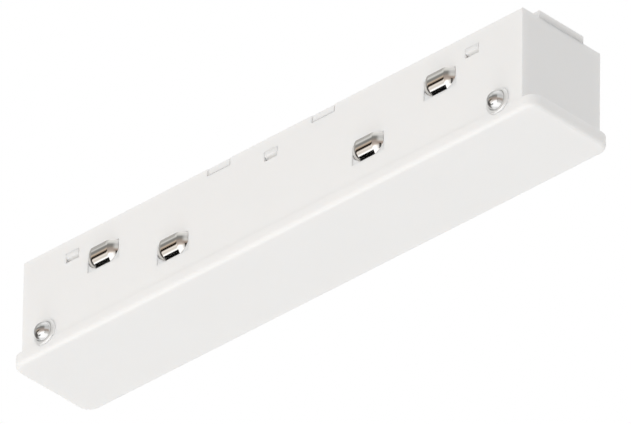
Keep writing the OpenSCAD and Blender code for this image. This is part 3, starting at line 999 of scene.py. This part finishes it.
@dataclass
class ContactShoe:
    """Formed contact: a crest, two bends and two slightly bowed legs, all with one rounded section.

    Attributes:
        crest: Half the length of the crest.
        bend_radius: How far the crest stands out from the axis of its bends.
        section_radius: Radius of the section.
        crest_rise: Height of the section's outermost point above the middle of the window.
        width: Length of the contact in its window.
        height: Height of the contact in its window.
        leg_angle: Mean angle between the crest and a leg.
        leg_bow: How much that angle grows along a leg.
        rim_start: Angle of the section where the nearly straight stretch to its lower edge starts.
        rim_end: Angle of that stretch at the lower edge.
        pocket: Length and height of the spring's pocket.
        wall_front: Distance from the crest's face to the floor of the pocket.
        shoulder_thickness: Thickness of the lip that stays behind the window.
        lip_gap: Least distance of the formed face from that lip.
        columns: Faces along the contact.
        rows: Faces across it.
    """

    crest: float = 1.7
    bend_radius: float = 1.5
    section_radius: float = 3.2
    crest_rise: float = 0.8
    width: float = 7.3
    height: float = 3.75
    leg_angle: float = 45.0
    leg_bow: float = 12.0
    rim_start: float = 46.5
    rim_end: float = 43.5
    pocket: Pair = (4.0, 2.85)
    wall_front: float = 1.35
    shoulder_thickness: float = 0.5
    lip_gap: float = 0.01
    columns: int = 98
    rows: int = 60

    def section(self, z: float) -> float:
        """Work out how far the section stands out from the bend axis.

        Args:
            z: Height above the middle of the window, in millimetres.

        Returns:
            The distance in millimetres.
        """
        centre = self.bend_radius - self.section_radius
        start = math.radians(self.rim_start)
        rim_z = self.crest_rise - self.section_radius * math.sin(start)
        if z >= rim_z:
            return centre + math.sqrt(self.section_radius ** 2 - (z - self.crest_rise) ** 2)
        drop = rim_z + self.height / 2
        span = math.radians(self.rim_end) - start
        tilt = start + span * (rim_z - z) / drop
        fall = drop * (math.log(math.cos(start)) - math.log(math.cos(tilt))) / span
        return centre + self.section_radius * math.cos(start) - fall

    def reach(self, x: float, z: float) -> float:
        """Work out how far the surface stands out from the bend axis.

        Args:
            x: Distance from the middle of the contact, in millimetres.
            z: Height above the middle of the window, in millimetres.

        Returns:
            The distance in millimetres; negative behind the axis.
        """
        past = max(0.0, abs(x) - self.crest)
        depth = self.section(z)
        first = math.radians(self.leg_angle - self.leg_bow / 2)
        bend_end = depth * math.sin(first)
        if past <= bend_end:
            return math.sqrt(depth ** 2 - past ** 2)
        turn = math.radians(self.leg_bow) * (past - bend_end) / self.bend_radius
        return depth * math.cos(first) - (past - bend_end) * math.tan(first + turn / 2)

    def mesh(self, name: str, node: str) -> bpy.types.Mesh:
        """Build the contact over its frame node's box.

        Args:
            name: Name of the mesh.
            node: Frame node of the contact.

        Returns:
            The finished mesh, in the frame's coordinates.
        """
        low, high = (Vector(corner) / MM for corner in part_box(node))
        middle = (low + high) / 2
        axis_y = low.y + self.bend_radius
        shoulder_y = high.y - self.shoulder_thickness
        work = bmesh.new()
        grid = []
        for row in range(self.rows + 1):
            z = self.height * (row / self.rows - 0.5)
            line = []
            for column in range(self.columns + 1):
                x = self.width * (column / self.columns - 0.5)
                y = min(axis_y - self.reach(x, z), shoulder_y - self.lip_gap)
                line.append(work.verts.new(Vector((middle.x + x, y, middle.z + z)) * MM))
            grid.append(line)
        for below, above in zip(grid, grid[1:]):
            for a, b, c, d in zip(below, below[1:], above[1:], above):
                work.faces.new((a, b, c, d))
        ring = (grid[0][:-1] + [line[-1] for line in grid[:-1]] + grid[-1][:0:-1]
                + [line[0] for line in grid[:0:-1]])
        outline = [vertex.co / MM - middle for vertex in ring]
        lip = ((high.x - low.x) / self.width, (high.z - low.z) / self.height)
        hollow = (self.pocket[0] / self.width, self.pocket[1] / self.height)
        for (wide, tall), y in (((1.0, 1.0), shoulder_y), (lip, shoulder_y), (lip, high.y), (hollow, high.y),
                                (hollow, low.y + self.wall_front)):
            behind = [work.verts.new(Vector((middle.x + place.x * wide, y, middle.z + place.z * tall)) * MM)
                      for place in outline]
            for index, vertex in enumerate(ring):
                work.faces.new((ring[index - 1], behind[index - 1], behind[index], vertex))
            ring = behind
        work.faces.new(ring[::-1])
        return smooth_mesh(work, name)


@dataclass
class Plunger:
    """Press-in ball plunger: a turned sleeve with a collar, its mouth closed in over a ball.

    Attributes:
        sleeve_radius: Radius of the sleeve behind the collar.
        collar_radius: Radius of the collar.
        collar_height: Thickness of the collar.
        collar_edge: Radius of its rounded edge.
        closed_end: Thickness of the sleeve's closed end.
        ball_gap: Gap between the ball and the bore.
        back_chamfer: Chamfer of the closed end.
        arc_steps: Faces across each rounded edge.
        sides: Faces round the sleeve and the ball.
    """

    sleeve_radius: float = 2.3
    collar_radius: float = 2.5
    collar_height: float = 0.5
    collar_edge: float = 0.3
    closed_end: float = 0.6
    ball_gap: float = 0.05
    back_chamfer: float = 0.25
    arc_steps: int = 8
    sides: int = 96

    def outline(self, length: float, ball_radius: float, ball_depth: float) -> list[Pair]:
        """Draw half the section of the sleeve.

        Args:
            length: Length over the collar, in millimetres.
            ball_radius: Radius of the ball.
            ball_depth: Depth of the ball's centre behind the collar's face.

        Returns:
            Radius and depth of each point, from the axis inside the bore round to the axis at the closed end.
        """
        bore = ball_radius + self.ball_gap
        points = [(0.0, length - self.closed_end), (bore, length - self.closed_end)]
        widest = math.asin(ball_depth / bore)
        for step in range(self.arc_steps + 1):
            angle = widest * step / self.arc_steps
            points.append((bore * math.cos(angle), ball_depth - bore * math.sin(angle)))
        edge = self.collar_radius - self.collar_edge
        for step in range(self.arc_steps + 1):
            angle = math.pi / 2 * step / self.arc_steps
            points.append((edge + self.collar_edge * math.sin(angle),
                           self.collar_edge * (1 - math.cos(angle))))
        return points + [
            (self.collar_radius, self.collar_height), (self.sleeve_radius, self.collar_height),
            (self.sleeve_radius, length - self.back_chamfer),
            (self.sleeve_radius - self.back_chamfer, length), (0.0, length),
        ]

    def sleeve(self, number: int) -> bpy.types.Mesh:
        """Turn the sleeve of one plunger.

        Args:
            number: Number of the plunger.

        Returns:
            The finished mesh, in the frame's coordinates.
        """
        side = Side.of_plunger(number)
        low, high = (Vector(corner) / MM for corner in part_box(f"plunger_sleeve_{number}"))
        ball_low, ball_high = (Vector(corner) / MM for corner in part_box(f"plunger_ball_{number}"))
        ball = (ball_low + ball_high) / 2
        face_y = low.y if side is Side.FRONT else high.y
        ball_depth = (ball.y - face_y) * side.value
        work = bmesh.new()
        rings = []
        for radius, depth in self.outline(high.y - low.y, (ball_high.x - ball_low.x) / 2, ball_depth):
            y = face_y + depth * side.value
            turns = [math.tau * index / self.sides for index in range(self.sides)] if radius else [0.0]
            places = [Vector((ball.x + radius * math.cos(turn), y, ball.z + radius * math.sin(turn)))
                      for turn in turns]
            rings.append([work.verts.new(place * MM) for place in places])
        for ring, after in zip(rings, rings[1:]):
            for index in range(self.sides):
                corners = [ring[index % len(ring)], ring[(index + 1) % len(ring)],
                           after[(index + 1) % len(after)], after[index % len(after)]]
                work.faces.new(list(dict.fromkeys(corners)))
        bmesh.ops.recalc_face_normals(work, faces=work.faces)
        return smooth_mesh(work, f"plunger_sleeve_{number}_turned")

    def ball(self, number: int) -> bpy.types.Mesh:
        """Make the ball of one plunger.

        Args:
            number: Number of the plunger.

        Returns:
            The finished mesh, in the frame's coordinates.
        """
        low, high = (Vector(corner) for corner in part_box(f"plunger_ball_{number}"))
        work = bmesh.new()
        place = Matrix.Translation((low + high) / 2) @ Matrix.Rotation(math.pi / 2, 4, "X")
        bmesh.ops.create_uvsphere(work, u_segments=self.sides, v_segments=self.sides // 2,
                                  radius=min(high - low) / 2, matrix=place)
        return smooth_mesh(work, f"plunger_ball_{number}_round")


@dataclass
class Metal:
    """Contacts, plunger sleeves and balls."""

    shoe: ContactShoe = field(default_factory=ContactShoe)
    plunger: Plunger = field(default_factory=Plunger)

    def dress(self) -> None:
        """Shape the bright pieces and give them their finishes."""
        nickel = CONTACT_NICKEL.material()
        sleeve = SLEEVE_STEEL.material()
        ball = BALL_STEEL.material()
        for number in NUMBERS:
            contact = self.shoe.mesh(f"contact_{number}_formed", f"contact_{number}")
            add_piece(contact.name, contact, nickel, f"contact_{number}", f"contact_body_{number}")
            turned = self.plunger.sleeve(number)
            add_piece(turned.name, turned, sleeve, f"plunger_sleeve_{number}")
            rounded = self.plunger.ball(number)
            add_piece(rounded.name, rounded, ball, f"plunger_ball_{number}", f"ball_body_{number}")


def paint(name: str, material: bpy.types.Material) -> None:
    """Give a frame node one material.

    Args:
        name: Name of the node.
        material: Its finish.
    """
    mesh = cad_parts[name].data
    mesh.materials.clear()
    mesh.materials.append(material)
    LOG.info("%s: %s", name, material.name)


def main() -> None:
    """Build the studio and dress every piece."""
    logging.basicConfig(level=logging.INFO)
    Studio().build()
    Surround().build()
    Shell().dress()
    Inside().dress()
    Metal().dress()


if __name__ == "__main__":
    main()
